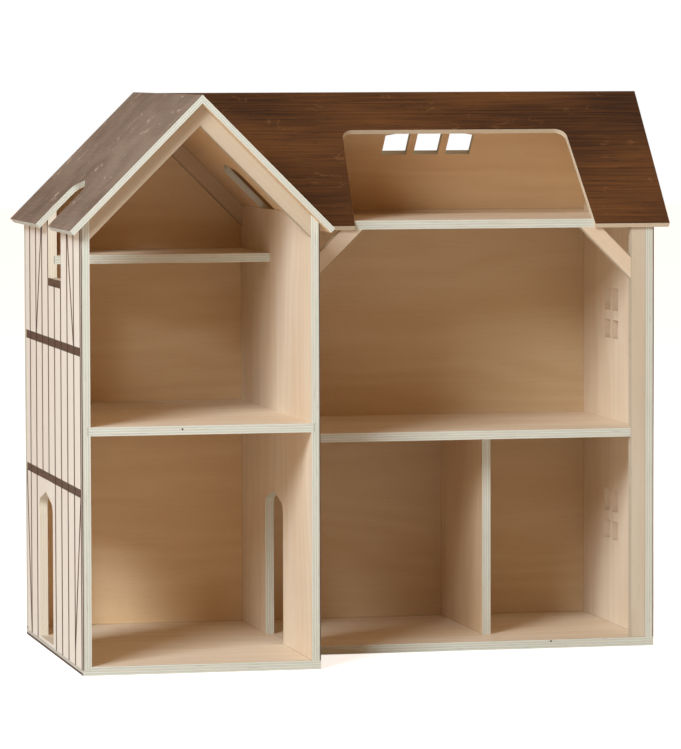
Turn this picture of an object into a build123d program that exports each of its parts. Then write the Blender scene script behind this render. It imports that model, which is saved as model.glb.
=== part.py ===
from build123d import *
import os

# Plywood dollhouse: a tall gabled wing on the left and a wider main house on the right.
# Millimetres. +X right, +Y towards the back, +Z up, origin under the middle of the whole house.

# ---- boards ----
ply = 9.0                  # walls, floors and trim strips
roof_ply = 6.0             # roof panels
trim_width = 16.0          # rafters, corner posts and braces, measured across the strip
brace_reach = 54.5         # along the post and along the ceiling
housing = 3.0              # how deep a floor board sits in a wall

# ---- plan ----
wing_width = 244.0
main_width = 383.0         # from the wing to the outer face of the right wall
house_depth = 375.0
main_recess = 117.0        # main front stands back from the wing front
wing_eave = 13.0           # wing roof beyond its side walls
gable_overhang = 14.0      # wing roof beyond its front and back
main_eave = 8.0            # main roof beyond its front and back
main_verge = 15.0          # main roof beyond the right wall

# ---- floors (undersides) ----
wing_floor_z = 241.0
main_floor_z = 221.0
main_attic_z = 441.0       # sets the height of the walls and both roofs
wing_attic_drop = 36.0     # wing attic floor below the main one
wall_rise = 1.5            # wing walls stand this far above the top of the main attic floor
eave_catch = 5.5           # main roof crosses the front of the attic floor this far below its top
base_step = 3.5            # step in the wing base board that takes the left wall
partition_from_wing = 213.0
partition_setback = 63.0   # from the main front

# ---- arched openings ----
arch_slope = 0.25          # rise of the arch sides
haunch_radius = 12.0
door_width = 93.0
door_shoulder = 145.0      # door corner height above the floor, before rounding
left_door_y = 236.0        # middle of each door, from the wing front
right_door_y = 192.0
window_front = 131.0       # wing window, from the wing front
window_width = 78.0
sill_drop = 14.0           # window sill below the wing attic floor
window_run = 46.5          # how far the slot climbs the left roof panel from the wall's outer face
attic_door_front = 180.0   # doorway between the two attics, from the wing front
attic_door_width = 78.0
attic_door_run = 72.5      # its length up the right wing panel from the wall's outer face

# ---- small windows in the right wall ----
pane_width = 23.0
pane_bar = 8.0             # upright between two panes
upper_pane = 24.0
lower_pane = 20.0
pane_rail = 10.0           # rail between upper and lower panes
pane_start = 108.0         # nearest pane, from the main front
ground_sill = 90.5         # above the floor board
first_sill = 86.5

# ---- main roof ----
hatch_left = 60.5          # open front of the attic, from the wing's outer wall face
hatch_width = 257.0        # at the eave
hatch_taper = 7.5          # each side leans in by this much on the way up
hatch_top = 56.0           # its top edge, measured down the slope from the ridge
hatch_radius = 12.0
skylight_left = 133.0      # three-light window in the back panel
light_width = 27.0
light_bar = 8.0
light_bottom = 89.4        # measured down the slope from the ridge
light_side = 29.2          # side height of the outer lights

# ---- engraved siding ----
line_width = 4.0
line_depth = 1.0
line_first = 6.0
line_pitch = 41.25
band_depth = 0.5
low_band = (178.5, 187.0)   # heights of the two long bands
high_band = (320.5, 329.3)
sill_band = 8.0             # band under the wing window
band_end = 8.0              # bands stop this far from the wall's front edge
slant_foot = 11.0           # height of the front slanted line's foot above the base board
plain_margin = 8.0         # siding stops this far from small windows

# ---- places worked out from the sizes above ----
diag = 2 ** 0.5
x_left = -(wing_eave + wing_width + main_width + main_verge) / 2 + wing_eave
x_mid = x_left + wing_width
x_right = x_mid + main_width
y_front = -(house_depth + 2 * gable_overhang) / 2 + gable_overhang
y_back = y_front + house_depth
y_main = y_front + main_recess
y_inner = y_back - ply
x_ridge = (x_left + x_mid) / 2
y_ridge = (y_main + y_back) / 2
slope_ply = roof_ply * diag       # roof panel thickness measured upright
wing_attic_z = main_attic_z - wing_attic_drop
window_sill = wing_attic_z - sill_drop
attic_top = main_attic_z + ply
wing_crest = (x_ridge, attic_top + wall_rise + wing_width / 2 + slope_ply)
main_crest = (y_ridge, attic_top - eave_catch + (y_back - y_main) / 2 + slope_ply)
x_partition = x_mid + partition_from_wing
x_post_left = x_mid + trim_width
x_post_right = x_right - ply - trim_width
wing_inner = (x_left + ply, x_mid - ply)
far = 900.0


def box(x0, x1, y0, y1, z0, z1):
    return Pos((x0 + x1) / 2, (y0 + y1) / 2, (z0 + z1) / 2) * Box(x1 - x0, y1 - y0, z1 - z0)


def along_y(points, y0, y1):
    """Solid with an outline in X and Z, running from y0 to y1."""
    face = make_face(Polyline(*[(x, 0, z) for x, z in points], close=True))
    return Pos(0, y0, 0) * extrude(face, y1 - y0, dir=(0, 1, 0))


def along_x(points, x0, x1):
    """Solid with an outline in Y and Z, running from x0 to x1."""
    face = make_face(Polyline(*[(0, y, z) for y, z in points], close=True))
    return Pos(x0, 0, 0) * extrude(face, x1 - x0, dir=(1, 0, 0))


def arch_face(width, shoulder):
    """Flat pointed arch standing on the X axis, with rounded shoulders."""
    half = width / 2
    face = make_face(Polyline((-half, 0), (half, 0), (half, shoulder),
                              (0, shoulder + arch_slope * half), (-half, shoulder), close=True))
    shoulders = [v for v in face.vertices() if abs(v.Y - shoulder) < 0.001]
    return fillet(shoulders, min(haunch_radius, width / 4))


def slope_profile(crest, eave):
    """Section of a roof panel at 45 degrees: mitred at the ridge, square at the eave."""
    ridge, top = crest
    side = 1 if eave > ridge else -1
    low = top - abs(eave - ridge)
    step = roof_ply / diag
    return [(ridge, top), (eave, low), (eave - side * step, low - step), (ridge, top - slope_ply)]


def under_roof(at, crest):
    """Height of the roof underside at a place across the house."""
    return crest[1] - slope_ply - abs(at - crest[0])


def wing_roof_volume():
    """Everything under the outer surface of the wing roof, used to trim the main roof."""
    ridge, top = wing_crest
    drop = wing_width
    return along_y([(ridge, top), (ridge + drop, top - drop), (ridge - drop, top - drop)],
                   y_front - gable_overhang, y_back + gable_overhang)


wing_peak = under_roof(x_ridge, wing_crest)
main_peak = under_roof(y_ridge, main_crest)
left_door = (y_front + left_door_y - door_width / 2, y_front + left_door_y + door_width / 2)
window_span = (y_front + window_front, y_front + window_front + window_width)


# ---- engraving ----
def patch(y0, y1, z0, z1):
    """Upright rectangle in Y and Z, used to draw on a wall face."""
    return make_face(Polyline((0, y0, z0), (0, y1, z0), (0, y1, z1), (0, y0, z1), close=True))


def slant(y0, z0, y1, z1):
    """Slanted line between two points, as wide as the upright ones."""
    half = line_width / 2
    return make_face(Polyline((0, y0 - half, z0), (0, y0 + half, z0), (0, y1 + half, z1),
                              (0, y1 - half, z1), close=True))


def upright_lines(start, stop):
    """Lines over the whole height, one siding board apart."""
    half = line_width / 2
    count = int((stop - start - line_first - half) / line_pitch) + 1
    places = [start + line_first + i * line_pitch for i in range(count)]
    return [patch(y - half, y + half, -far, far) for y in places]


def engraving(x_face, shapes, blocks, depth):
    """Everything engraved to one depth on a wall face, left out where a block stands."""
    pattern = Sketch() + shapes
    for block in blocks:
        pattern -= patch(*block)
    return Pos(x_face - depth, 0, 0) * extrude(pattern, 2 * depth, dir=(1, 0, 0))


def middle(span):
    return (span[0] + span[1]) / 2


# ---- wing ----
def wing_base_board():
    part = box(x_left, x_mid, y_front, y_back, 0, ply)
    part -= box(x_left, x_left + ply, y_front, y_inner, ply - base_step, far)
    return part


def housing_cut(x_face, y0, z):
    """Groove across a wall face that takes the end of a floor board."""
    return box(x_face - housing, x_face + housing, y0, y_inner, z, z + ply)


def wing_side_wall(x0, z0):
    """Wall with its top bevelled to the roof underside."""
    x1 = x0 + ply
    return along_y([(x0, z0), (x1, z0), (x1, under_roof(x1, wing_crest)),
                    (x0, under_roof(x0, wing_crest))], y_front, y_inner)


def door_cut(x0, middle):
    face = Plane(origin=(x0 - ply, y_front + middle, ply), x_dir=(0, 1, 0), z_dir=(1, 0, 0))
    return extrude(face * arch_face(door_width, door_shoulder), 3 * ply)


def window_cut():
    """The wing window: a straight notch in the wall, up to the roof."""
    return box(x_left - ply, x_left + 2 * ply, *window_span, window_sill, far)


def left_slants():
    """Slanted lines on the wall, each across one siding board."""
    first = y_front + line_first
    top, high, low = wing_peak, middle(high_band), middle(low_band)
    lean = line_pitch / (under_roof(x_left, wing_crest) - high)
    reach = lean * (top - high)
    return [slant(first + line_pitch + reach, top, first + line_pitch, high),
            slant(first + 7 * line_pitch - reach, top, first + 7 * line_pitch, high),
            slant(first, low, first + line_pitch, ply + slant_foot),
            slant(y_inner - line_width / 2, low, first + 8 * line_pitch, 0)]


def wing_left_wall():
    part = wing_side_wall(x_left, ply - base_step)
    part -= door_cut(x_left, left_door_y)
    part -= window_cut()
    part -= housing_cut(x_left + ply, y_front, wing_floor_z)
    part -= housing_cut(x_left + ply, window_span[1], wing_attic_z)
    door_bay = (*left_door, -far, middle(low_band))
    sill = (*window_span, window_sill - sill_band, window_sill + sill_band)
    window_bay = (*window_span, middle((window_sill - sill_band, window_sill)), far)
    lines = upright_lines(y_front, y_inner) + left_slants()
    part -= engraving(x_left, lines, [door_bay, window_bay], line_depth)
    bands = [patch(y_front + band_end, far, *low_band), patch(y_front + band_end, far, *high_band)]
    part -= engraving(x_left, [*bands, patch(*sill)], [], band_depth)
    return part


def wing_right_wall():
    part = wing_side_wall(x_mid - ply, ply)
    part -= door_cut(x_mid - ply, right_door_y)
    part -= housing_cut(x_mid - ply, y_front, wing_floor_z)
    part -= housing_cut(x_mid - ply, window_span[1], wing_attic_z)
    part -= housing_cut(x_mid, y_main + ply, main_floor_z)
    stop = y_main - line_first
    part -= engraving(x_mid, upright_lines(y_front, stop), [], line_depth)
    bands = [patch(y_front + band_end, stop, *band) for band in (low_band, high_band)]
    part -= engraving(x_mid, bands, [], band_depth)
    return part


def wing_back_wall():
    part = along_y([(x_left, ply), (x_mid, ply), (x_mid, under_roof(x_mid, wing_crest)),
                    (x_ridge, wing_peak), (x_left, under_roof(x_left, wing_crest))],
                   y_inner, y_back)
    return part


def wing_first_floor():
    part = box(wing_inner[0] - housing, wing_inner[1] + housing, y_front, y_inner,
               wing_floor_z, wing_floor_z + ply)
    return part


def wing_attic_floor():
    part = box(wing_inner[0] - housing, wing_inner[1] + housing,
               window_span[1], y_inner, wing_attic_z, wing_attic_z + ply)
    return part


def rafter(x_low, y0):
    """Strip under a wing roof panel, from the wall to the ridge."""
    depth = trim_width * diag
    z_low = under_roof(x_low, wing_crest)
    return along_y([(x_low, z_low), (x_ridge, wing_peak), (x_ridge, wing_peak - depth),
                    (x_low, z_low - depth)], y0, y0 + ply)


def slope_slot(x_wall, side, y0, width, run):
    """Arched slot that climbs a wing roof panel from beyond the eave."""
    normal = (side, 0, 1)
    start = run - arch_slope * width / 2          # shoulder, measured up the slope
    below = 2 * wing_eave * diag                  # lets the slot run out past the eave
    origin = (x_wall + side * below / diag, y0 + width / 2,
              wing_crest[1] - wing_width / 2 - below / diag)
    plane = Plane(origin=origin, x_dir=(0, side, 0), z_dir=normal)
    return extrude(plane * arch_face(width, start + below), 3 * roof_ply, both=True)


def wing_roof_left_panel():
    part = along_y(slope_profile(wing_crest, x_left - wing_eave),
                   y_front - gable_overhang, y_back + gable_overhang)
    return part - slope_slot(x_left, -1, y_front + window_front, window_width, window_run)


def wing_roof_right_panel():
    """Its eave overhang stops where the main roof covers it."""
    part = along_y(slope_profile(wing_crest, x_mid + wing_eave),
                   y_front - gable_overhang, y_back + gable_overhang)
    part -= slope_slot(x_mid, 1, y_front + attic_door_front, attic_door_width, attic_door_run)
    wall_line = wing_crest[1] - wing_width / 2
    covered = main_crest[1] - wall_line
    return part - box(x_mid, x_mid + far, y_ridge - covered, y_ridge + covered, 0, far)


# ---- main house ----
def main_base_board():
    part = box(x_mid, x_right, y_main, y_back, 0, ply)
    return part


def pane_rows():
    """Corner and size of each pane in the right wall: y, z, height."""
    rows = []
    for sill in (ply + ground_sill, main_floor_z + ply + first_sill):
        for i in range(2):
            y = y_main + pane_start + i * (pane_width + pane_bar)
            rows.append((y, sill, lower_pane))
            rows.append((y, sill + lower_pane + pane_rail, upper_pane))
    return rows


def main_right_wall():
    part = along_x([(y_main, ply), (y_inner, ply), (y_inner, under_roof(y_inner, main_crest)),
                    (y_ridge, main_peak), (y_main, under_roof(y_main, main_crest))],
                   x_right - ply, x_right)
    blocks = []
    for y, z, height in pane_rows():
        part -= box(x_right - 2 * ply, x_right + ply, y, y + pane_width, z, z + height)
        blocks.append((y - plain_margin, y + pane_width + plain_margin,
                       z - plain_margin, z + height + plain_margin))
    part -= housing_cut(x_right - ply, y_main + ply, main_floor_z)
    part -= housing_cut(x_right - ply, y_main + ply, main_attic_z)
    part -= engraving(x_right, upright_lines(y_main, y_inner), blocks, line_depth)
    bands = [patch(y_main + band_end, far, *band) for band in (low_band, high_band)]
    part -= engraving(x_right, bands, blocks, band_depth)
    return part


def main_back_wall():
    part = along_x([(y_inner, ply), (y_back, ply), (y_back, under_roof(y_back, main_crest)),
                    (y_inner, under_roof(y_inner, main_crest))], x_mid, x_right)
    return part - wing_roof_right_panel()


def between_posts(part, z0, z1):
    """Notch a floor board around the two corner posts."""
    part -= box(x_mid - ply, x_post_left, y_main, y_main + ply, z0, z1)
    part -= box(x_post_right, x_right, y_main, y_main + ply, z0, z1)
    return part


def main_first_floor():
    z0, z1 = main_floor_z, main_floor_z + ply
    part = box(x_mid - housing, x_right - ply + housing, y_main, y_inner, z0, z1)
    return between_posts(part, z0, z1)


def main_attic_floor():
    """Rests on the posts; its front edge is bevelled where the roof panel covers it."""
    z0, z1 = main_attic_z, main_attic_z + ply
    part = box(x_mid, x_right - ply, y_main, y_inner, z0, z1)
    part += box(x_right - ply, x_right - ply + housing, y_main + ply, y_inner, z0, z1)
    return part - main_roof_front_panel() - wing_roof_right_panel()


def main_partition():
    part = box(x_partition, x_partition + ply, y_main + partition_setback, y_inner,
               ply, main_floor_z)
    return part


def main_post(x0):
    return box(x0, x0 + trim_width, y_main, y_main + ply, ply, main_attic_z)


def brace(x_post, side):
    """Slanted strip between a corner post and the attic floor."""
    wide = trim_width * diag
    return along_y([(x_post, main_attic_z - brace_reach), (x_post + side * brace_reach, main_attic_z),
                    (x_post + side * (brace_reach - wide), main_attic_z),
                    (x_post, main_attic_z - brace_reach + wide)], y_main, y_main + ply)



def roof_plane(side, x):
    """Plane on the outer face of a main roof panel: X along the ridge, Y up the slope."""
    return Plane(origin=(x, *main_crest), x_dir=(-side, 0, 0), z_dir=(0, side, 1))


def main_roof_panel(eave):
    part = along_x(slope_profile(main_crest, eave), x_ridge, x_right + main_verge)
    return part - wing_roof_volume()


def main_roof_front_panel():
    """Front slope with the wide open hatch that runs out through the eave."""
    part = main_roof_panel(y_main - main_eave)
    middle = x_mid + hatch_left + hatch_width / 2
    eave_run = (y_ridge - y_main + main_eave) * diag
    lean = hatch_taper / (eave_run - hatch_top)
    low = eave_run + main_eave
    half_low = hatch_width / 2 + lean * main_eave
    half_top = hatch_width / 2 - hatch_taper
    face = make_face(Polyline((-half_low, -low), (half_low, -low), (half_top, -hatch_top),
                              (-half_top, -hatch_top), close=True))
    corners = [v for v in face.vertices() if abs(v.Y + hatch_top) < 0.001]
    face = fillet(corners, hatch_radius)
    return part - extrude(roof_plane(-1, middle) * face, 3 * roof_ply, both=True)


def main_roof_back_panel():
    """Back slope with three upright lights under one flat arch."""
    part = main_roof_panel(y_back + main_eave)
    width = 3 * light_width + 2 * light_bar
    plane = roof_plane(1, x_mid + skylight_left + width / 2)
    arch = Pos(0, -light_bottom) * make_face(Polyline(
        (-width / 2, 0), (width / 2, 0), (width / 2, light_side),
        (0, light_side + arch_slope * width / 2), (-width / 2, light_side), close=True))
    for i in (-1, 1):
        bar = Pos(i * (light_width + light_bar) / 2, 0) * Rectangle(light_bar, 2 * light_bottom)
        arch -= bar
    return part - extrude(plane * arch, 3 * roof_ply, both=True)


parts = {
    "wing_base_board": wing_base_board(),
    "wing_left_wall": wing_left_wall(),
    "wing_right_wall": wing_right_wall(),
    "wing_back_wall": wing_back_wall(),
    "wing_first_floor": wing_first_floor(),
    "wing_attic_floor": wing_attic_floor(),
    "wing_front_rafter_left": rafter(wing_inner[0], y_front),
    "wing_front_rafter_right": rafter(wing_inner[1], y_front),
    "wing_rear_rafter_left": rafter(wing_inner[0], y_inner - ply),
    "wing_rear_rafter_right": rafter(wing_inner[1], y_inner - ply),
    "wing_roof_left_panel": wing_roof_left_panel(),
    "wing_roof_right_panel": wing_roof_right_panel(),
    "main_base_board": main_base_board(),
    "main_right_wall": main_right_wall(),
    "main_back_wall": main_back_wall(),
    "main_first_floor": main_first_floor(),
    "main_partition": main_partition(),
    "main_attic_floor": main_attic_floor(),
    "main_post_left": main_post(x_mid),
    "main_post_right": main_post(x_post_right),
    "main_brace_left": brace(x_post_left, 1),
    "main_brace_right": brace(x_post_right, -1),
    "main_roof_front_panel": main_roof_front_panel(),
    "main_roof_back_panel": main_roof_back_panel(),
}

os.makedirs("parts", exist_ok=True)
for name, part in parts.items():
    export_step(part, f"parts/{name}.step")
    print(name, round(part.volume))
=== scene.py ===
import bpy
import math
import numpy as np
from mathutils import Matrix, Vector


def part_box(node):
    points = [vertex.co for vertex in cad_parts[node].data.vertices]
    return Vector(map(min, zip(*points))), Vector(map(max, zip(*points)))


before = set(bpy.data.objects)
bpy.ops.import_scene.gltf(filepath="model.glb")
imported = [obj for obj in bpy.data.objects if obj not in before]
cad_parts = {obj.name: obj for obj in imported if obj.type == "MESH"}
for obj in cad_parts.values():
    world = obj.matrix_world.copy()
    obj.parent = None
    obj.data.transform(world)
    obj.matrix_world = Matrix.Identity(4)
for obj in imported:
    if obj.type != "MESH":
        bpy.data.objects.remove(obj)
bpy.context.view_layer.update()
print("frame loaded:", len(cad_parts), "boards")

# ways across and along a board
left, right, back, up = (-1, 0, 0), (1, 0, 0), (0, 1, 0), (0, 0, 1)
diag = math.sqrt(0.5)
upLeft, upRight = (-diag, 0, diag), (diag, 0, diag)
upFront, upBack = (0, -diag, diag), (0, diag, diag)


def plug(tree, socket, value):
    # a socket is linked, anything else is set as the value
    if isinstance(value, bpy.types.NodeSocket):
        tree.links.new(value, socket)
    else:
        socket.default_value = value


def addNode(tree, kind, inputs=None, **settings):
    node = tree.nodes.new(kind)
    for name, value in settings.items():
        setattr(node, name, value)
    for key, value in (inputs or {}).items():
        plug(tree, node.inputs[key], value)
    return node


def calc(tree, operation, *values):
    return addNode(tree, "ShaderNodeMath", dict(enumerate(values)), operation=operation).outputs[0]


def times(tree, first, second):
    return calc(tree, "MULTIPLY", first, second)


def minus(tree, first, second):
    return calc(tree, "SUBTRACT", first, second)


def vec(tree, operation, *values):
    node = addNode(tree, "ShaderNodeVectorMath", dict(enumerate(values)), operation=operation)
    givesNumber = operation in ("DOT_PRODUCT", "DISTANCE", "LENGTH")
    return node.outputs["Value" if givesNumber else "Vector"]


def point(tree, x, y, z):
    return addNode(tree, "ShaderNodeCombineXYZ", {0: x, 1: y, 2: z}).outputs[0]


def trueNormal(tree):
    return addNode(tree, "ShaderNodeNewGeometry").outputs["True Normal"]


def objectPlace(tree):
    return addNode(tree, "ShaderNodeTexCoord").outputs["Object"]


def ramp(tree, value, low, high, outLow=0.0, outHigh=1.0):
    # smooth step from outLow at low to outHigh at high
    facts = {"Value": value, "From Min": low, "From Max": high, "To Min": outLow, "To Max": outHigh}
    return addNode(tree, "ShaderNodeMapRange", facts, interpolation_type="SMOOTHSTEP").outputs["Result"]


def fade(tree, value, low, high):
    # smooth step down, from 1 at low to 0 at high
    return ramp(tree, value, low, high, 1.0, 0.0)


def noise(tree, vector, scale, detail, rough=0.5, distortion=0.0):
    facts = {"Vector": vector, "Scale": scale, "Detail": detail, "Roughness": rough,
             "Distortion": distortion}
    return addNode(tree, "ShaderNodeTexNoise", facts).outputs["Fac"]


def mixColor(tree, amount, first, second, blend="MIX"):
    sockets = {0: amount, 6: first, 7: second}
    return addNode(tree, "ShaderNodeMix", sockets, data_type="RGBA", blend_type=blend).outputs[2]


def hexColor(text):
    # screen colour to the linear values that shaders use
    parts = [int(text[i:i + 2], 16) / 255 for i in (0, 2, 4)]
    return (*[((c + 0.055) / 1.055) ** 2.4 if c > 0.04045 else c / 12.92 for c in parts], 1.0)


def newGroup(name, inputs, outputs):
    # an input is a vector where its value is a tuple, and every output is a number
    tree = bpy.data.node_groups.new(name, "ShaderNodeTree")
    for label, value in inputs.items():
        kind = "NodeSocketVector" if isinstance(value, tuple) else "NodeSocketFloat"
        tree.interface.new_socket(label, in_out="INPUT", socket_type=kind).default_value = value
    for label in outputs:
        tree.interface.new_socket(label, in_out="OUTPUT", socket_type="NodeSocketFloat")
    return tree, tree.nodes.new("NodeGroupInput").outputs, tree.nodes.new("NodeGroupOutput").inputs


def closeGroup(tree, out, results):
    for label, value in results.items():
        tree.links.new(value, out[label])
    return tree


def useGroup(tree, group, inputs):
    return addNode(tree, "ShaderNodeGroup", inputs, node_tree=group).outputs


faceTurn = (0.75, 0.9)   # normal against the way across: edge below the first, face above the second


def makeBoardPlaces():
    # along = P.along, beside = P.(across x along), height = P.across - low, through = height / thickness,
    # depth = thickness - height, face = smooth step of |N.across|, outer = smooth step of N.across
    tree, given, out = newGroup("boardPlaces",
                                {"Across": up, "Along": right, "Low": 0.0, "Thickness": 0.009},
                                ["Along", "Beside", "Through", "Face", "Outer", "Depth"])
    place = objectPlace(tree)
    facing = vec(tree, "DOT_PRODUCT", trueNormal(tree), given["Across"])
    height = minus(tree, vec(tree, "DOT_PRODUCT", place, given["Across"]), given["Low"])
    beside = vec(tree, "CROSS_PRODUCT", given["Across"], given["Along"])
    return closeGroup(tree, out, {
        "Along": vec(tree, "DOT_PRODUCT", place, given["Along"]),
        "Beside": vec(tree, "DOT_PRODUCT", place, beside),
        "Through": calc(tree, "DIVIDE", height, given["Thickness"]),
        "Face": ramp(tree, calc(tree, "ABSOLUTE", facing), *faceTurn),
        "Outer": ramp(tree, facing, *faceTurn),
        "Depth": minus(tree, given["Thickness"], height)})


# each pattern: cells per metre along and beside the grain, shift from the others, noise detail, roughness;
# rings: bands per metre beside the grain, and how many of them the wander adds;
# each step: noise values where the pattern starts and where it is full
veneer = {"wander": (2.2, 9.0, 0.0, 2.0, 0.5), "rings": 26.0, "wanderRings": 7.0,
          "streaks": (9.0, 420.0, 3.1, 4.0, 0.65),
          "pores": (55.0, 1400.0, 7.7, 2.0, 0.5), "poreStep": (0.63, 0.72),
          "clouds": (3.5, 11.0, 12.3, 3.0, 0.5), "cloudStep": (0.3, 0.7),
          "mottle": (24.0, 30.0, 17.0, 4.0, 0.6), "mottleStep": (0.34, 0.66),
          "curls": (42.0, 60.0, 21.0, 2.0, 0.5), "curlBend": 0.6, "curlLine": (0.008, 0.03),
          "spots": (38.0, 50.0, 31.0, 1.0, 0.5), "spotStep": (0.58, 0.68)}


def makeVeneer():
    # bands = 1/2 + 1/2 sin(2 pi (rings beside + wanderRings figure noise)), the rest are noises stretched
    # along the grain, and flecks are curved marks where |noise - 1/2| is near 0, kept to scattered spots
    tree, given, out = newGroup("veneerGrain", {"Along": 0.0, "Beside": 0.0, "Seed": 0.0, "Figure": 1.0},
                                ["Bands", "Streaks", "Pores", "Clouds", "Flecks", "Mottle"])

    def grain(pattern, distortion=0.0):
        alongScale, besideScale, shift, detail, rough = veneer[pattern]
        x = times(tree, given["Along"], alongScale)
        y = times(tree, given["Beside"], besideScale)
        z = calc(tree, "ADD", given["Seed"], shift)
        return noise(tree, point(tree, x, y, z), 1.0, detail, rough, distortion)

    wander = times(tree, times(tree, grain("wander"), veneer["wanderRings"]), given["Figure"])
    rings = calc(tree, "ADD", times(tree, given["Beside"], veneer["rings"]), wander)
    wave = calc(tree, "SINE", times(tree, rings, 2 * math.pi))
    curl = calc(tree, "ABSOLUTE", minus(tree, grain("curls", veneer["curlBend"]), 0.5))
    spots = ramp(tree, grain("spots"), *veneer["spotStep"])
    return closeGroup(tree, out, {
        "Bands": calc(tree, "MULTIPLY_ADD", wave, 0.5, 0.5),
        "Streaks": grain("streaks"),
        "Pores": ramp(tree, grain("pores"), *veneer["poreStep"]),
        "Clouds": ramp(tree, grain("clouds"), *veneer["cloudStep"]),
        "Mottle": ramp(tree, grain("mottle"), *veneer["mottleStep"]),
        "Flecks": times(tree, fade(tree, curl, *veneer["curlLine"]), spots)})


# scales in cells per metre along the edge, drift in plies, steps as for the veneer
plyEdge = {"driftScale": 14.0, "drift": 0.5, "grainStep": (0.47, 0.53), "glueLine": (0.05, 0.2),
           "speckleScale": 900.0, "voidScale": 38.0, "voidStep": (0.735, 0.76), "hueScale": 16.0,
           "hueStretch": (1.0, 1.0, 3.0), "coolStep": (0.52, 0.66), "warmStep": (0.36, 0.48)}


def makePlies():
    # count = through plies + drift, end grain on every other ply = step(frac(count / 2) - 1/2),
    # glue = narrow line where min(frac(count), 1 - frac(count)) is near 0
    tree, given, out = newGroup("plyEdges",
                                {"Through": 0.0, "Along": 0.0, "Beside": 0.0, "Plies": 7.0, "Seed": 0.0},
                                ["EndGrain", "Glue", "Speckle", "Voids", "Cool", "Warm"])
    run = calc(tree, "ADD", given["Along"], given["Beside"])
    spot = point(tree, run, given["Seed"], given["Through"])
    drift = times(tree, minus(tree, noise(tree, spot, plyEdge["driftScale"], 2.0), 0.5), plyEdge["drift"])
    count = calc(tree, "ADD", times(tree, given["Through"], given["Plies"]), drift)
    within = calc(tree, "FRACT", count)
    pair = calc(tree, "FRACT", times(tree, count, 0.5))
    seam = calc(tree, "MINIMUM", within, minus(tree, 1.0, within))
    hue = noise(tree, vec(tree, "MULTIPLY", spot, plyEdge["hueStretch"]), plyEdge["hueScale"], 2.0)
    return closeGroup(tree, out, {
        "EndGrain": ramp(tree, pair, *plyEdge["grainStep"]),
        "Glue": fade(tree, seam, *plyEdge["glueLine"]),
        "Speckle": noise(tree, spot, plyEdge["speckleScale"], 3.0, 0.7),
        "Voids": ramp(tree, noise(tree, spot, plyEdge["voidScale"], 1.0), *plyEdge["voidStep"]),
        "Cool": ramp(tree, hue, *plyEdge["coolStep"]),
        "Warm": fade(tree, hue, *plyEdge["warmStep"])})


# line round each face; steps are shares of the width; the housed line is where a floor enters a wall
jointLine = {"width": 0.0006, "step": (0.4, 1.3), "strength": 0.45, "color": hexColor("6E5840"),
             "housedStep": (0.5, 1.5), "housedStrength": 0.8, "housedColor": hexColor("4A3826")}


def makeJointLine():
    # line = 1 where min(a - aLow, aHigh - a, b - bLow, bHigh - b) is under about the width
    tree, given, out = newGroup("jointLine",
                                {"Along": 0.0, "Beside": 0.0, "Along Low": 0.0, "Along High": 1.0,
                                 "Beside Low": 0.0, "Beside High": 1.0, "Width": jointLine["width"]},
                                ["Line"])
    near = None
    for way in ("Along", "Beside"):
        for first, second in ((way, way + " Low"), (way + " High", way)):
            gap = minus(tree, given[first], given[second])
            near = gap if near is None else calc(tree, "MINIMUM", near, gap)
    inside = calc(tree, "DIVIDE", near, given["Width"])
    return closeGroup(tree, out, {"Line": fade(tree, inside, *jointLine["step"])})


groups = {"places": makeBoardPlaces(), "veneer": makeVeneer(), "plies": makePlies(),
          "joint": makeJointLine()}
print("wood groups ready")

# light wood, what the grain darkens it towards, and the strength of each grain pattern
paleWood = {"light": hexColor("F6E8D3"), "deep": hexColor("DDC09C"), "bands": 0.16, "streaks": 0.34,
            "clouds": 0.30, "pores": 0.35, "mottle": 0.0, "flecks": 0.0, "figure": 1.0}
mainStain = {"light": hexColor("8C592D"), "deep": hexColor("29150A"), "bands": 0.0, "streaks": 1.0,
             "clouds": 0.36, "pores": 0.35, "mottle": 0.0, "flecks": 0.25, "fleckColor": hexColor("9A6A44")}
wingStain = {"light": hexColor("A08F81"), "deep": hexColor("58473C"), "bands": 0.0, "streaks": 0.20,
             "clouds": 0.26, "pores": 0.10, "mottle": 0.26, "flecks": 0.70, "fleckColor": hexColor("D6BFAA")}
# roughness runs from roughness - smoother to roughness + rougher over the streaks
surface = {"roughness": 0.55, "smoother": 0.06, "rougher": 0.1, "streakStep": (0.2, 0.8), "specular": 0.35,
           "bump": 0.25, "bumpDistance": 0.0003, "poreDepth": 0.8}
# board edges: each pattern's strength and colour, laid over the light plies in this order
edgeWood = {"light": hexColor("DBE3D9"),
            "over": {"EndGrain": (1.0, hexColor("C9CBBD")), "Glue": (0.45, hexColor("A08C70")),
                     "Speckle": (0.22, hexColor("A08C70")), "Cool": (0.6, hexColor("D3DCCF")),
                     "Warm": (0.6, hexColor("E4D2C4")), "Voids": (1.0, hexColor("4A3826"))}}
edgeMark = {"radius": 0.0013, "core": 0.6, "color": hexColor("3A2C22")}
# engraved siding: first line from the wall's front edge, pitch, depths, then the scorch beside a line
siding = {"cover": 0.75, "board": hexColor("F5F0E8"), "band": hexColor("5F473A"), "line": hexColor("2B1A13"),
          "lineDepth": 0.0007, "reach": 0.00108, "sunk": (0.0002, 0.0004), "first": 0.006, "pitch": 0.04125,
          "halfLine": 0.002, "scorch": 0.0027, "scorchColor": hexColor("6E4C3C"), "scorchAmount": 0.85}
brownEnd = {"facing": (0.8, 0.9), "palePlies": 0.2, "color": siding["band"]}
lowBand, highBand, eave = 0.18275, 0.3249, 0.4515   # heights where slanted lines start and stop
slantFoot = 0.020
roofPaintedShade = (1.0, 0.88, 0.71)   # painted shade on the inner side of every roof panel


def lineAt(count):
    # distance of an upright line from the wall's front edge
    return siding["first"] + count * siding["pitch"]
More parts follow.
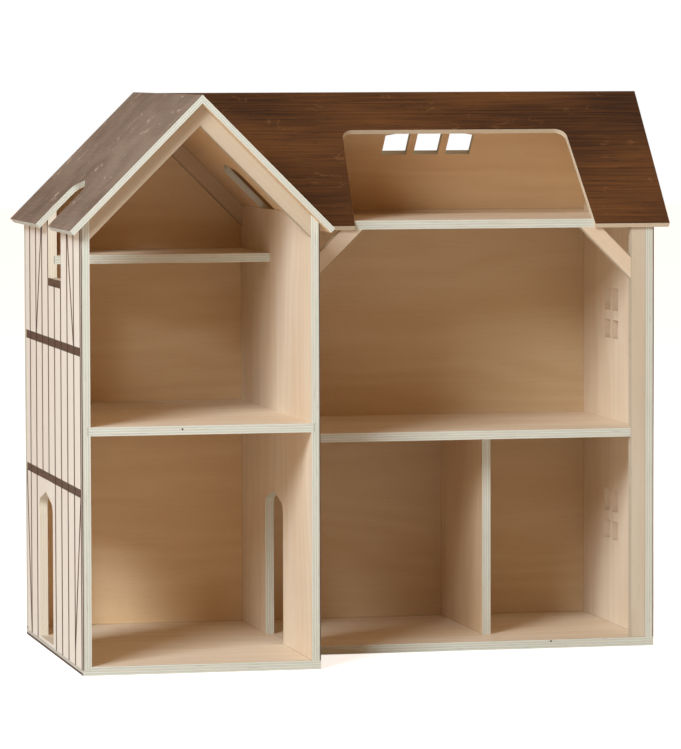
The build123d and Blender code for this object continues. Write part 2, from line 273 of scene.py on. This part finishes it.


# across: way through the board to its outer face; along: way of the grain; paintedShade: darker tint of the
# inner side, painted shade;
# plain: bare boxes (from y, to y, from z, to z) and slants (y, z, y, z), with y from the wall's front edge;
# marks: dark spots (x, z) on the front edge and, where it is bare, the back edge; housed: ends enter walls;
# edgeLikeFace and revealLikeFace: 0 like plies, 1 like the face, which brings its painted shade along
# the darker tints on the back walls, partition, rafters, posts, braces and inner roof sides are painted
# shade
boards = {
    "wing_base_board": {"across": up, "along": right, "plies": 7, "brownEnd": True},
    "wing_left_wall": {"across": left, "along": up, "plies": 7, "siding": True,
                       "slants": [(lineAt(1), highBand, lineAt(2), eave),
                                  (lineAt(7), highBand, lineAt(6), eave),
                                  (lineAt(0), lowBand, lineAt(1), slantFoot),
                                  (0.364, lowBand, lineAt(8), 0.0)],
                       "revealLikeFace": 0.5, "revealPaintedShade": (1.0, 1.0, 1.0),
                       "plain": [(0.1892, 0.2828, 0.0, 0.1829), (0.1308, 0.2092, 0.3908, 0.6)]},
    "wing_right_wall": {"across": right, "along": up, "plies": 7, "siding": True,
                        "plain": [(0.1115, 0.38, 0.0, 0.6)]},
    "wing_back_wall": {"across": back, "along": right, "plies": 7, "paintedShade": (1.0, 0.89, 0.72)},
    "wing_first_floor": {"across": up, "along": right, "plies": 7, "housed": True,
                         "marks": [(-0.212, 0.2465)]},
    "wing_attic_floor": {"across": up, "along": right, "plies": 7, "housed": True},
    # front rafters: painted shadow of the roof overhang, darkest on the left one
    "wing_front_rafter_left": {"across": back, "along": upRight, "plies": 7,
                               "paintedShade": (0.60, 0.56, 0.50), "edgeLikeFace": 0.6},
    "wing_front_rafter_right": {"across": back, "along": upLeft, "plies": 7,
                                "paintedShade": (0.62, 0.60, 0.56), "edgeLikeFace": 0.6},
    "wing_rear_rafter_left": {"across": back, "along": upRight, "plies": 7,
                              "paintedShade": (0.74, 0.64, 0.52), "edgeLikeFace": 0.8},
    "wing_rear_rafter_right": {"across": back, "along": upLeft, "plies": 7,
                               "paintedShade": (0.74, 0.64, 0.52), "edgeLikeFace": 0.8},
    "wing_roof_left_panel": {"across": upLeft, "along": back, "plies": 5, "stain": wingStain,
                             "paintedShade": roofPaintedShade},
    "wing_roof_right_panel": {"across": upRight, "along": back, "plies": 5, "stain": wingStain,
                              "paintedShade": roofPaintedShade},
    "main_base_board": {"across": up, "along": right, "plies": 7, "marks": [(0.201, 0.0075)]},
    "main_right_wall": {"across": right, "along": up, "plies": 7, "siding": True,
                        # window reveals: face colour darkened by painted shade
                        "revealLikeFace": 0.95, "revealPaintedShade": (0.72, 0.68, 0.64),
                        "plain": [(0.100, 0.170, 0.0915, 0.1615), (0.100, 0.170, 0.3085, 0.3785)]},
    "main_back_wall": {"across": back, "along": right, "plies": 7, "paintedShade": (0.80, 0.71, 0.58)},
    "main_first_floor": {"across": up, "along": right, "plies": 7, "housed": True},
    "main_partition": {"across": right, "along": up, "plies": 7, "paintedShade": (0.92, 0.82, 0.70)},
    "main_attic_floor": {"across": up, "along": right, "plies": 7},
    "main_post_left": {"across": back, "along": up, "plies": 7, "paintedShade": (0.70, 0.71, 0.70),
                       "edgeLikeFace": 0.8},
    "main_post_right": {"across": back, "along": up, "plies": 7, "paintedShade": (0.70, 0.71, 0.70),
                        "edgeLikeFace": 0.8},
    "main_brace_left": {"across": back, "along": upRight, "plies": 7, "paintedShade": (0.86, 0.84, 0.82),
                        "edgeLikeFace": 0.6},
    "main_brace_right": {"across": back, "along": upLeft, "plies": 7, "paintedShade": (0.86, 0.84, 0.82),
                         "edgeLikeFace": 0.6},
    "main_roof_front_panel": {"across": upFront, "along": right, "plies": 5, "stain": mainStain,
                              "paintedShade": roofPaintedShade, "edgeLikeFace": 0.45},
    "main_roof_back_panel": {"across": upBack, "along": right, "plies": 5, "stain": mainStain,
                             "paintedShade": roofPaintedShade},
}


def boardSpan(piece, way):
    # (min, max) of P.way over the board
    points = np.empty(len(piece.data.vertices) * 3, np.float32)
    piece.data.vertices.foreach_get("co", points)
    heights = points.reshape(-1, 3) @ np.array(way, np.float32)
    return float(heights.min()), float(heights.max())


def insideBox(tree, axis, lows, highs):
    # 1 inside the box, from step(P - low) * step(high - P) on Y and Z
    inside = None
    for letter, low, high in (("Y", lows[0], highs[0]), ("Z", lows[1], highs[1])):
        for test, edge in (("GREATER_THAN", low), ("LESS_THAN", high)):
            one = calc(tree, test, axis[letter], edge)
            inside = one if inside is None else times(tree, inside, one)
    return inside


def plainMask(tree, facts, axis, frontY):
    # 1 inside any of the board's plain boxes
    bare = 0.0
    for y0, y1, z0, z1 in facts.get("plain", ()):
        bare = calc(tree, "MAXIMUM", bare, insideBox(tree, axis, (frontY + y0, z0), (frontY + y1, z1)))
    return bare


def woodColor(tree, look, grain):
    # light wood darkened by the sum of strength * pattern, with pale flecks on top
    shade = times(tree, grain["Bands"], look["bands"])
    for pattern in ("streaks", "clouds", "pores", "mottle"):
        shade = calc(tree, "ADD", shade, times(tree, grain[pattern.capitalize()], look[pattern]))
    color = mixColor(tree, calc(tree, "MINIMUM", shade, 1.0), look["light"], look["deep"])
    if look["flecks"]:
        color = mixColor(tree, times(tree, grain["Flecks"], look["flecks"]), color, look["fleckColor"])
    return color


def faceColor(tree, facts, grain, place):
    # pale wood, with painted shade tinting the inner side, stained or painted on the outer one
    face = woodColor(tree, paleWood, grain)
    if facts.get("paintedShade"):
        # painted shade: the inner side multiplied by the board's darker tint
        inner = minus(tree, 1.0, place["Outer"])
        face = mixColor(tree, inner, face, (*facts["paintedShade"], 1.0), "MULTIPLY")
    if facts.get("stain"):
        face = mixColor(tree, place["Outer"], face, woodColor(tree, facts["stain"], grain))
    if facts.get("siding"):
        face = mixColor(tree, times(tree, place["Outer"], siding["cover"]), face, siding["board"])
    return face


def edgeColor(tree, facts, layers, face, bare):
    edge = edgeWood["light"]
    for pattern, (strength, tint) in edgeWood["over"].items():
        edge = mixColor(tree, times(tree, layers[pattern], strength), edge, tint)
    if facts.get("edgeLikeFace"):
        edge = mixColor(tree, facts["edgeLikeFace"], edge, face)
    if facts.get("revealLikeFace"):
        # reveal colour: the face times a darker tint, painted shade
        reveal = mixColor(tree, 1.0, face, (*facts["revealPaintedShade"], 1.0), "MULTIPLY")
        edge = mixColor(tree, times(tree, bare, facts["revealLikeFace"]), edge, reveal)
    return edge


def addMarks(tree, facts, axis, edge):
    # dark mark where the distance to (x, z) is under the radius
    for x, z in facts.get("marks", ()):
        away = vec(tree, "DISTANCE", point(tree, axis["X"], 0.0, axis["Z"]), (x, 0.0, z))
        mark = fade(tree, away, edgeMark["core"] * edgeMark["radius"], edgeMark["radius"])
        edge = mixColor(tree, mark, edge, edgeMark["color"])
    return edge


def addHousedEnds(tree, place, ends, edge):
    # thin line where the board's ends enter the walls, min(a - low, high - a) under the width
    toEnd = calc(tree, "MINIMUM", minus(tree, place["Along"], ends[0]), minus(tree, ends[1], place["Along"]))
    start, stop = (share * jointLine["width"] for share in jointLine["housedStep"])
    atEnd = times(tree, fade(tree, toEnd, start, stop), jointLine["housedStrength"])
    return mixColor(tree, atEnd, edge, jointLine["housedColor"])


def scorchMask(tree, facts, axis, frontY):
    # haze by the distance to the nearest upright line, pitch |frac(t + 1/2) - 1/2|, t = (y - first) / pitch
    hazeEnd = siding["halfLine"] + siding["scorch"]
    fromFirst = minus(tree, axis["Y"], frontY + siding["first"])
    turns = calc(tree, "ADD", calc(tree, "DIVIDE", fromFirst, siding["pitch"]), 0.5)
    fromLine = calc(tree, "ABSOLUTE", minus(tree, calc(tree, "FRACT", turns), 0.5))
    haze = fade(tree, times(tree, fromLine, siding["pitch"]), siding["halfLine"], hazeEnd)
    for y0, z0, y1, z1 in facts.get("slants", ()):
        # slanted line y = y0 + (z - z0) (y1 - y0) / (z1 - z0), between its two heights
        slope = (y1 - y0) / (z1 - z0)
        onLine = calc(tree, "MULTIPLY_ADD", axis["Z"], slope, frontY + y0 - z0 * slope)
        apart = calc(tree, "ABSOLUTE", minus(tree, axis["Y"], onLine))
        slant = fade(tree, apart, siding["halfLine"], hazeEnd)
        slant = times(tree, slant, calc(tree, "GREATER_THAN", axis["Z"], min(z0, z1)))
        slant = times(tree, slant, calc(tree, "LESS_THAN", axis["Z"], max(z0, z1)))
        haze = calc(tree, "MAXIMUM", haze, slant)
    return haze


def addSiding(tree, facts, place, axis, frontY, bare, color):
    # engraved floors lie below the outer face, and groove sides reach no deeper than the cut
    painted = minus(tree, 1.0, bare)
    sunk = times(tree, place["Outer"], ramp(tree, place["Depth"], *siding["sunk"]))
    shallow = calc(tree, "LESS_THAN", place["Depth"], siding["reach"])
    side = times(tree, times(tree, minus(tree, 1.0, place["Face"]), shallow), painted)
    haze = times(tree, times(tree, scorchMask(tree, facts, axis, frontY), place["Outer"]), painted)
    color = mixColor(tree, times(tree, haze, siding["scorchAmount"]), color, siding["scorchColor"])
    deepCut = calc(tree, "GREATER_THAN", place["Depth"], siding["lineDepth"])
    burnt = mixColor(tree, deepCut, siding["band"], siding["line"])
    return mixColor(tree, calc(tree, "MAXIMUM", sunk, side), color, burnt)


def addJointLine(tree, place, ends, sides, color):
    facts = {"Along": place["Along"], "Beside": place["Beside"], "Width": jointLine["width"],
             "Along Low": ends[0], "Along High": ends[1], "Beside Low": sides[0], "Beside High": sides[1]}
    line = times(tree, useGroup(tree, groups["joint"], facts)["Line"], place["Face"])
    return mixColor(tree, times(tree, line, jointLine["strength"]), color, jointLine["color"])


def addBrownEnd(tree, place, color):
    # left end: outer plies are brown, where |through - 1/2| is over palePlies
    facing = vec(tree, "DOT_PRODUCT", trueNormal(tree), left)
    fromMiddle = calc(tree, "ABSOLUTE", minus(tree, place["Through"], 0.5))
    outerPly = calc(tree, "GREATER_THAN", fromMiddle, brownEnd["palePlies"])
    brown = times(tree, ramp(tree, facing, *brownEnd["facing"]), outerPly)
    return mixColor(tree, brown, color, brownEnd["color"])


def boardMaterial(name, facts, seed):
    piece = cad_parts[name]
    low, high = boardSpan(piece, facts["across"])
    ends = boardSpan(piece, facts["along"])
    sides = boardSpan(piece, np.cross(facts["across"], facts["along"]))
    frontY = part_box(name)[0].y
    material = bpy.data.materials.new("wood_" + name)
    material.use_nodes = True
    tree = material.node_tree
    tree.nodes.clear()
    place = useGroup(tree, groups["places"], {"Across": facts["across"], "Along": facts["along"],
                                              "Low": low, "Thickness": high - low})
    where = {"Along": place["Along"], "Beside": place["Beside"], "Seed": seed}
    grain = useGroup(tree, groups["veneer"], {**where, "Figure": paleWood["figure"]})
    layers = useGroup(tree, groups["plies"], {**where, "Through": place["Through"], "Plies": facts["plies"]})
    axis = addNode(tree, "ShaderNodeSeparateXYZ", {0: objectPlace(tree)}).outputs
    bare = plainMask(tree, facts, axis, frontY)

    face = faceColor(tree, facts, grain, place)
    edge = addMarks(tree, facts, axis, edgeColor(tree, facts, layers, face, bare))
    if facts.get("housed"):
        edge = addHousedEnds(tree, place, ends, edge)
    color = mixColor(tree, place["Face"], edge, face)
    if facts.get("siding"):
        color = addSiding(tree, facts, place, axis, frontY, bare, color)
    color = addJointLine(tree, place, ends, sides, color)
    if facts.get("brownEnd"):
        color = addBrownEnd(tree, place, color)

    roughness = ramp(tree, grain["Streaks"], *surface["streakStep"],
                     surface["roughness"] - surface["smoother"], surface["roughness"] + surface["rougher"])
    relief = minus(tree, grain["Streaks"], times(tree, grain["Pores"], surface["poreDepth"]))
    bump = addNode(tree, "ShaderNodeBump", {"Strength": surface["bump"], "Distance": surface["bumpDistance"],
                                            "Height": relief})
    shader = addNode(tree, "ShaderNodeBsdfPrincipled",
                     {"Base Color": color, "Roughness": roughness, "Normal": bump.outputs[0],
                      "Specular IOR Level": surface["specular"]})
    output = addNode(tree, "ShaderNodeOutputMaterial")
    tree.links.new(shader.outputs[0], output.inputs["Surface"])
    return material


seeds = {"first": 0.4, "step": 1.7}   # each board has its own grain
for index, (name, facts) in enumerate(boards.items()):
    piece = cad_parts[name]
    piece.data.materials.clear()
    piece.data.materials.append(boardMaterial(name, facts, seeds["step"] * index + seeds["first"]))
print("boards finished:", len(boards))

# glow: how bright the floor looks to the camera at the house and far away
studio = {"floorSize": 30.0, "floorColor": hexColor("F7F6F4"), "floorRoughness": 0.9, "floorDrop": 0.0002,
          "glowReach": (0.4, 1.3), "glowNear": 0.80, "glowFar": 1.0, "aim": (0.0, 0.0, 0.3),
          "backdrop": (1.0, 1.0, 1.0, 1.0), "ambient": (0.25, 0.125, 0.045, 1.0)}
lights = {
    "keySoftbox": {"place": (-2.5, -2.8, 2.3), "size": 1.6, "power": 163, "color": (0.91, 1.0, 1.07)},
    "rearSoftbox": {"place": (2.9, 1.9, 2.0), "size": 2.2, "power": 75, "color": (1.0, 0.98, 0.95)},
    "fillSoftbox": {"place": (2.0, -3.2, 0.9), "size": 2.2, "power": 5, "color": (1.0, 0.8, 0.6)},
}


def makeFloor():
    # flat square z = -drop, centred under the house
    reach = studio["floorSize"] / 2
    corners = np.array([(-1, -1), (1, -1), (1, 1), (-1, 1)]) * reach
    points = np.column_stack([corners, np.full(4, -studio["floorDrop"])])
    mesh = bpy.data.meshes.new("studioFloor")
    mesh.from_pydata(points.tolist(), [], [(0, 1, 2, 3)])
    floor = bpy.data.objects.new("studioFloor", mesh)
    bpy.context.scene.collection.objects.link(floor)
    material = bpy.data.materials.new("paperFloor")
    material.use_nodes = True
    tree = material.node_tree
    shader = tree.nodes["Principled BSDF"]
    shader.inputs["Base Color"].default_value = studio["floorColor"]
    shader.inputs["Emission Color"].default_value = studio["floorColor"]
    shader.inputs["Roughness"].default_value = studio["floorRoughness"]
    seen = addNode(tree, "ShaderNodeLightPath").outputs["Is Camera Ray"]
    away = vec(tree, "LENGTH", objectPlace(tree))
    glow = ramp(tree, away, *studio["glowReach"], studio["glowNear"], studio["glowFar"])
    tree.links.new(times(tree, seen, glow), shader.inputs["Emission Strength"])
    mesh.materials.append(material)


def makeLight(name, facts):
    lamp = bpy.data.lights.new(name, "AREA")
    lamp.size = facts["size"]
    lamp.energy = facts["power"]
    lamp.color = facts["color"]
    light = bpy.data.objects.new(name, lamp)
    bpy.context.scene.collection.objects.link(light)
    aim = np.array(studio["aim"]) - np.array(facts["place"])
    light.location = facts["place"]
    light.rotation_euler = Vector(aim).to_track_quat("-Z", "Y").to_euler()


def makeWorld():
    # white behind the house, dim and warm as a light
    world = bpy.data.worlds.new("studioWorld")
    world.use_nodes = True
    tree = world.node_tree
    seen = addNode(tree, "ShaderNodeLightPath").outputs["Is Camera Ray"]
    sky = mixColor(tree, seen, studio["ambient"], studio["backdrop"])
    tree.links.new(sky, tree.nodes["Background"].inputs["Color"])
    bpy.context.scene.world = world


makeFloor()
for name, facts in lights.items():
    makeLight(name, facts)
makeWorld()
bpy.context.scene.view_settings.view_transform = "Standard"

# turn, tilt and roll in degrees, lens and sensor in millimetres
view = {"place": (-1.10223, -5.02327, 0.61782), "turn": 12.2815, "tilt": 3.6865, "roll": -0.1573,
        "lens": 235.875, "sensor": 36.0, "clipEnd": 100.0}
lens = bpy.data.cameras.new("camera")
lens.lens = view["lens"]
lens.sensor_width = view["sensor"]
lens.clip_end = view["clipEnd"]
camera = bpy.data.objects.new("camera", lens)
bpy.context.scene.collection.objects.link(camera)
turned = Matrix.Rotation(-math.radians(view["turn"]), 4, "Z")
tilted = Matrix.Rotation(math.radians(90 - view["tilt"]), 4, "X")
rolled = Matrix.Rotation(math.radians(view["roll"]), 4, "Z")
camera.matrix_world = Matrix.Translation(view["place"]) @ turned @ tilted @ rolled
bpy.context.scene.camera = camera
print("camera and studio ready")
